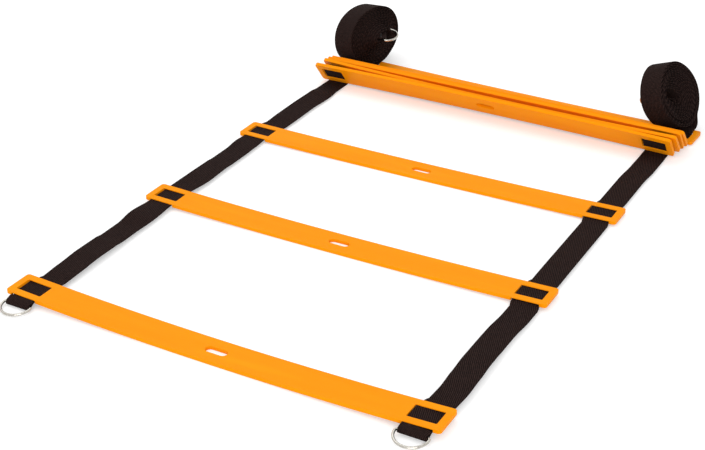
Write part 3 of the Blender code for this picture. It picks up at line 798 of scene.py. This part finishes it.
def roll_winding(roll, turn):
    """(y, z) of the winding from the roll's middle, this many turns out from the core.

    The angle is -90 degrees less a whole turn for each turn. The long half of the oval is the
    core's plus its step times the turns, and the high half the same with its own step. Four soft
    corners grow with the turns: the size times 1 + box times the cosine of four times the angle.
    """
    turns, long_step, high_step = roll_sizes(roll)
    angle = -pi / 2 - 2 * pi * turn
    oval = np.stack([
        (CORE_HALF_LENGTH + long_step * turn) * np.cos(angle),
        (CORE_HALF_HEIGHT + high_step * turn) * np.sin(angle),
    ], axis=-1)
    corners = 1 + roll["box"] * turn / turns * np.cos(4 * (angle - roll["box_turn"]))
    return slanted(oval * corners[:, None], roll["slant"])


def roll_middle(roll):
    """The roll's middle in (y, z): it stands on the last rung, on one edge of its webbing if tilted."""
    turns = roll_sizes(roll)[0]
    low = roll_winding(roll, np.arange(int(turns * LOW_STEPS_A_TURN)) / LOW_STEPS_A_TURN)[:, 1].min()
    reach = (STRAP_THICK / 2 - low) * cos(roll["tilt"]) + STRAP_WIDTH / 2 * sin(abs(roll["tilt"]))
    return np.array([LAST_RUNG_FRONT + roll["behind"], RUNG_THICK + LAST_RUNG_RAISED + reach])


def core_pins(roll):
    """Round the far ring's bar inside the core, from the winding's inner end to the cut end."""
    spots = [
        (np.array([0, -CORE_HALF_HEIGHT]), 0.0),
        (np.array([CORE_FOLD_ALONG, -CORE_FOLD_DROP]), FOLD_RADIUS),
        (np.array([-CORE_PLY_END_ALONG, -CORE_PLY_END_DROP]), 0.0),
    ]
    return [(slanted(spot, roll["slant"]), radius, 1) for spot, radius in spots]


def roll_turn(roll, share):
    """Rotations (n, 3, 3) of the roll at these shares: yaw about the upright, then tilt about its y."""
    yaw, tilt = roll["yaw"] * share, -roll["tilt"] * share
    zero, one = np.zeros_like(yaw), np.ones_like(yaw)
    about_z = [np.cos(yaw), -np.sin(yaw), zero, np.sin(yaw), np.cos(yaw), zero, zero, zero, one]
    about_y = [np.cos(tilt), zero, np.sin(tilt), zero, one, zero, -np.sin(tilt), zero, np.cos(tilt)]
    first, second = (np.stack(parts, axis=-1).reshape(-1, 3, 3) for parts in (about_z, about_y))
    return first @ second


def stand_roll(roll, points, turned, aside):
    """(y, z) points of a roll's strap put in place: their middles (n, 3) and the directions across."""
    middle = roll_middle(roll)
    turn = roll_turn(roll, turned)
    inside = np.stack([aside, points[:, 0] - middle[0], points[:, 1] - middle[1]], axis=-1)
    standing_aside = LAST_RUNG_SHIFT + roll["aside"]
    centre_x = roll["side"] * STRAP_OFFSET + LAST_RUNG["aside"] * (1 - turned) + standing_aside * turned
    centre = np.stack([centre_x, np.full_like(turned, middle[0]), np.full_like(turned, middle[1])], axis=-1)
    return centre + np.einsum("nij,nj->ni", turn, inside), turn[:, :, 0]


def tail_points(start, start_travel, end, end_travel, count):
    """A smooth run between two places: the cubic with these ends and these directions of travel."""
    t = (np.arange(1, count) / count)[:, None]
    return (
        start * (2 * t ** 3 - 3 * t ** 2 + 1) + start_travel * (t ** 3 - 2 * t ** 2 + t)
        + end * (3 * t ** 2 - 2 * t ** 3) + end_travel * (t ** 3 - t ** 2)
    )


def roll_route(roll):
    """The strap from under the last rung to its cut end: (y, z) points, turn shares and sideways places."""
    turns = roll_sizes(roll)[0]
    middle = roll_middle(roll)
    turn = np.linspace(turns, 0, int(turns * ROLL_STEPS_A_TURN))
    winding = middle + roll_winding(roll, turn)
    front = last_rung_front(roll["side"])
    level = STRAP_LEVEL + LAST_RUNG_RAISED
    rear = np.array([front + RUNG_WIDTH + TAIL_LEAD, level + OVER_RIM])
    travel = unit(winding[1] - winding[0]) * TAIL_REACH
    tail = tail_points(rear, np.array([TAIL_REACH, 0.0]), winding[0], travel, TAIL_STEPS)
    run = np.linspace(front + LAST_TURN_RUN, rear[0], UNDER_POINTS)
    knots = [front, front + CROSSBAR_END, front + WINDOW_END, rear[0]]
    rise = eased(run, knots, [0, 0, OVER_RIM, OVER_RIM])
    under = np.stack([run, level + rise], axis=-1)
    core = middle + strap_route(core_pins(roll), CORE_POINTS - 1)[0][1:]
    turning = smooth(np.arange(1, TAIL_STEPS) / TAIL_STEPS)
    turned = np.concatenate([np.zeros(UNDER_POINTS), turning, np.ones(len(turn) + len(core))])
    lean = roll["lean"] * (1 - turn / turns) ** 2
    # The turns of a hand-wound roll stand in and out by about a millimetre, from half a turn in.
    chance = np.random.default_rng(CHANCE_SEED + roll["side"])
    uneven = chance.normal(0.0, TURN_UNEVENNESS, int(turns) + 3)
    begun = np.clip((turns - turn) / EVEN_TURNS, 0, 1)
    lean = lean + np.interp(turn, np.arange(len(uneven)), uneven) * begun
    aside = np.concatenate([np.zeros(len(under) + len(tail)), lean, np.full(len(core), lean[-1])])
    return np.concatenate([under, tail, winding, core]), turned, aside


# The left roll's ring stands out of the core: its bow and its bar point along these
LEFT_RING_BOW = np.array([0.8700, 0.4926, -0.0160])
LEFT_RING_BAR = np.array([0.4890, -0.8655, -0.1080])
LEFT_RING_SPOT = np.array([0.0250, -0.0020, 0.0045])
HELD_PLY = 0.008
LEAD_OUT = 0.012
LEAD_IN = 0.010


def held_end(place, travel, across):
    """The strap's end, led out of the core and folded round the bar of the ring that stands out of it.

    A smooth run turns the band from the winding's direction across to the bar's, and then the fold
    is half a circle round the bar with a ply on each side.
    """
    bow, bar, centre = LEFT_RING_BOW, LEFT_RING_BAR, left_ring_centre()
    upright = np.cross(bow, bar)
    start = centre - upright * FOLD_RADIUS - bow * HELD_PLY
    lead = tail_points(place, travel * LEAD_OUT, start, bow * LEAD_IN, LEAD_STEPS)
    bend = np.linspace(-pi / 2, pi / 2, LOOP_POINTS)[:, None]
    loop = centre + FOLD_RADIUS * (bow * np.cos(bend) + upright * np.sin(bend))
    middles = np.concatenate([lead, start[None], loop, (loop[-1] - bow * HELD_PLY)[None]])
    share = np.concatenate([np.arange(1, LEAD_STEPS) / LEAD_STEPS, np.ones(LOOP_POINTS + 2)])[:, None]
    return middles, unit(across * (1 - share) + bar * share)


def left_ring_centre():
    """Where the middle of the left roll's ring bar is."""
    middle = stand_roll(LEFT_ROLL, roll_middle(LEFT_ROLL)[None], np.ones(1), np.zeros(1))[0][0]
    return middle + LEFT_RING_SPOT


def rolled_strap(name, roll, material):
    """One strap from the last rung through its roll, to the fold that holds the far ring."""
    points, turned, aside = roll_route(roll)
    middles, across = stand_roll(roll, points, turned, aside)
    if roll["side"] < 0:
        middles, across = middles[:-CORE_POINTS], across[:-CORE_POINTS]
        end, end_across = held_end(middles[-1], unit(middles[-1] - middles[-2]), across[-1])
        middles, across = np.concatenate([middles, end]), np.concatenate([across, end_across])
    mesh = webbing_mesh(name, middles, across)
    node = f"{side_name(roll['side'])}_strap_roll"
    piece = put_piece(name, mesh, material, "straps_and_rolls", node)


def ring_route():
    """The closed middle line of a D-ring in (x, y): a bar, two small corners and half an oval bow."""
    half = RING_INNER_WIDTH / 2 + RING_WIRE_RADIUS
    turn = np.linspace(-pi / 2, 0, RING_CORNER_POINTS)[:-1]
    right = np.stack([
        half - RING_CORNER + RING_CORNER * np.cos(turn), RING_CORNER + RING_CORNER * np.sin(turn),
    ], -1)
    bow = np.linspace(0, pi, RING_BOW_POINTS)
    arc = np.stack([half * np.cos(bow), RING_CORNER + (RING_DEPTH - RING_CORNER) * np.sin(bow)], -1)
    left = right[::-1] * np.array([-1.0, 1.0])
    route, = respaced(np.concatenate([right, arc, left, right[:1]]), RING_STEP)
    return np.concatenate([route[:-1], np.zeros((len(route) - 1, 1))], axis=1)


def d_ring(name, matrix, material, body, node):
    """A welded wire D-ring, put in place by this matrix."""
    turned = np.array(matrix.to_3x3())
    middles = ring_route() @ turned.T + np.array(matrix.translation)
    mesh = round_wire_mesh(name, middles, RING_WIRE_RADIUS, True, RING_SIDES)
    put_piece(name, mesh, material, body, node)


def seam_mesh(name, spot, bar, along, out):
    """Zigzag stitches across the strap on one face: the thread dips into the cloth at each needle hole.

    Its rise between two holes and its sink at a hole are in thread radii.
    """
    count = int(STITCH_WIDTH / STITCH_PITCH)
    step = np.linspace(0, count, count * STITCH_STEPS + 1)
    across = (step / count - 0.5) * STITCH_WIDTH
    zigzag = (np.abs(step % 2 - 1) - 0.5) * STITCH_REACH
    lift = THREAD_RADIUS * (STITCH_RISE * np.sin(pi * (step % 1)) - STITCH_SINK)
    middles = spot + bar * across[:, None] + along * zigzag[:, None] + out * lift[:, None]
    return round_wire_mesh(name, middles, THREAD_RADIUS, False, THREAD_SIDES)


def add_seam(name, spot, bar, along, out, material):
    """A seam at this spot in the strap's middle: along runs with the strap and out leaves its face."""
    face = np.array(spot) + np.array(out) * STRAP_THICK / 2
    mesh = seam_mesh(f"{name}_stitches", face, np.array(bar), np.array(along), np.array(out))
    put_piece(f"{name}_stitches", mesh, material, "straps_and_rolls", name)


def add_rings(roll, wander, nickel, thread):
    """The front ring in its fold, the ring at the roll's core, and the seams that hold both."""
    name = side_name(roll["side"])
    x = roll["side"] * STRAP_OFFSET
    knots, lifts = list(zip(*wander))[:2]
    raised = eased(np.array([-RING_PLACE, -RING_PLACE + PLY_LENGTH / 2]), knots, lifts)
    lie = Matrix.Rotation(pi + RING_DIP, 4, "X")
    lying = Matrix.Translation((x, -RING_PLACE, RING_LEVEL + raised[0])) @ lie
    d_ring(f"{name}_front_d_ring", lying, nickel, f"{name}_front_ring", f"{name}_front_ring")
    slope = unit(np.array([0.0, PLY_LENGTH / 2, raised[1] - raised[0]]))
    spot = (x, -RING_PLACE + PLY_LENGTH / 2, STRAP_LEVEL + PLY_PITCH + raised[1])
    add_seam(f"{name}_front_seam", spot, (1.0, 0.0, 0.0), slope, np.cross((1.0, 0.0, 0.0), slope), thread)
    if roll["side"] < 0:
        bow, bar, centre = LEFT_RING_BOW, LEFT_RING_BAR, left_ring_centre()
        upright = np.cross(bar, bow)
        turned = Matrix(np.stack([bar, bow, upright]).T.tolist()).to_4x4()
        held = Matrix.Translation(centre.tolist()) @ turned
        back = centre - bow * HELD_PLY / 2 + upright * FOLD_RADIUS
        add_seam(f"{name}_end_seam", back, bar, bow, upright, thread)
    else:
        middle, pins = roll_middle(roll), core_pins(roll)
        core_turn = roll_turn(roll, np.ones(1))[0]
        aside = np.full(1, roll["lean"] - CORE_RING_DEPTH)
        centre = stand_roll(roll, (middle + pins[1][0])[None], np.ones(1), aside)[0][0]
        lie = Matrix.Rotation(roll["slant"] + pi - CORE_RING_LIFT, 4, "X")
        held = Matrix.Translation(centre.tolist()) @ Matrix(core_turn.tolist()).to_4x4() @ lie
        along = unit(pins[2][0] - pins[1][0])
        seam_middle = middle + pins[2][0] - along * PLY_LENGTH / 2
        spot = stand_roll(roll, seam_middle[None], np.ones(1), np.full(1, roll["lean"]))[0][0]
        add_seam(f"{name}_end_seam", spot, core_turn[:, 0], core_turn @ np.array([0.0, *along]),
                 core_turn @ np.array([0.0, -along[1], along[0]]), thread)
    d_ring(f"{name}_end_d_ring", held, nickel, "straps_and_rolls", f"{name}_end_ring")


def seen_directly(tree):
    """1 for what the camera sees, straight or mirrored, and 0 for light on its way elsewhere."""
    path = add(tree, "LightPath").outputs
    return maths(tree, "MAXIMUM", path["Is Camera Ray"], path["Is Glossy Ray"])


def add_floor():
    """A white sheet of paper, wide enough for every view: white to the camera, with soft grey shadows."""
    mesh = bpy.data.meshes.new("white_floor")
    corners = [(x * FLOOR_REACH, y * FLOOR_REACH, 0) for x, y in ((-1, -1), (1, -1), (1, 1), (-1, 1))]
    mesh.from_pydata(corners, [], [(0, 1, 2, 3)])
    floor = bpy.data.objects.new("white_floor", mesh)
    bpy.context.scene.collection.objects.link(floor)
    material, tree, shader = finish("matt_white_paper", "#E2E2E2", 0.9, Specular_IOR_Level=0.1)
    glow = add(tree, "Emission", Color=(1, 1, 1, 1), Strength=0.36)
    dark = add(tree, "Emission", Color=(0, 0, 0, 1), Strength=0.0)
    lit = add(tree, "MixShader", _0=seen_directly(tree), _1=dark.outputs[0], _2=glow.outputs[0])
    both = add(tree, "AddShader", _0=shader.outputs["BSDF"], _1=lit.outputs[0])
    tree.links.new(both.outputs[0], tree.nodes["Material Output"].inputs["Surface"])
    mesh.materials.append(material)


def add_lamp(name, place, size, power):
    """A round lamp of this diameter that faces the frame's origin."""
    lamp = bpy.data.lights.new(name, "AREA")
    lamp.shape = "DISK"
    lamp.size = size
    lamp.energy = power
    holder = bpy.data.objects.new(name, lamp)
    holder.location = place
    holder.rotation_euler = (-Vector(place)).to_track_quat("-Z", "Y").to_euler()
    bpy.context.scene.collection.objects.link(holder)


def add_light():
    """Soft studio light: a bright even surround, a large lamp above left and one low in front, right."""
    world = bpy.data.worlds.new("studio")
    bpy.context.scene.world = world
    world.use_nodes = True
    tree = world.node_tree
    background = tree.nodes["Background"]
    level = add(tree, "MapRange", Value=seen_directly(tree), To_Min=0.84, To_Max=1.0)
    tree.links.new(level.outputs["Result"], background.inputs["Strength"])
    background.inputs["Color"].default_value = (1, 1, 1, 1)
    add_lamp("overhead_softbox", place=(-0.9, 0.5, 1.9), size=1.8, power=9.0)
    add_lamp("front_fill", place=(0.9, -1.9, 0.8), size=1.6, power=20.0)


def add_camera():
    """The photograph's viewpoint: a long lens, about 29 degrees above the floor, with a slight roll."""
    data = bpy.data.cameras.new("photo_camera")
    data.sensor_width = 36.0
    data.lens = CAMERA_LENS
    data.clip_start = 0.01
    camera = bpy.data.objects.new("photo_camera", data)
    look = Vector(CAMERA_LOOK).normalized()
    right = Vector(CAMERA_RIGHT)
    right = (right - look * right.dot(look)).normalized()
    up = right.cross(look)
    place = to_ladder(np.array(CAMERA_PLACE)).tolist()
    camera.matrix_world = Matrix.Translation(place) @ Matrix((right, up, -look)).transposed().to_4x4()
    bpy.context.scene.collection.objects.link(camera)
    bpy.context.scene.camera = camera


def main():
    orange, webbing = orange_polypropylene(), dark_webbing()
    nickel, thread = nickel_plate(), twisted_thread()
    add_rungs(orange)
    for roll, wander in ((LEFT_ROLL, LEFT_WANDER), (RIGHT_ROLL, RIGHT_WANDER)):
        name = side_name(roll["side"])
        flat_strap(f"{name}_strap_webbing", roll["side"], wander, webbing)
        bunched_strap(f"{name}_bunch_webbing", roll["side"], webbing)
        rolled_strap(f"{name}_roll_webbing", roll, webbing)
        add_rings(roll, wander, nickel, thread)
    add_floor()
    add_light()
    add_camera()
    bpy.context.scene.view_settings.view_transform = "Standard"


main()
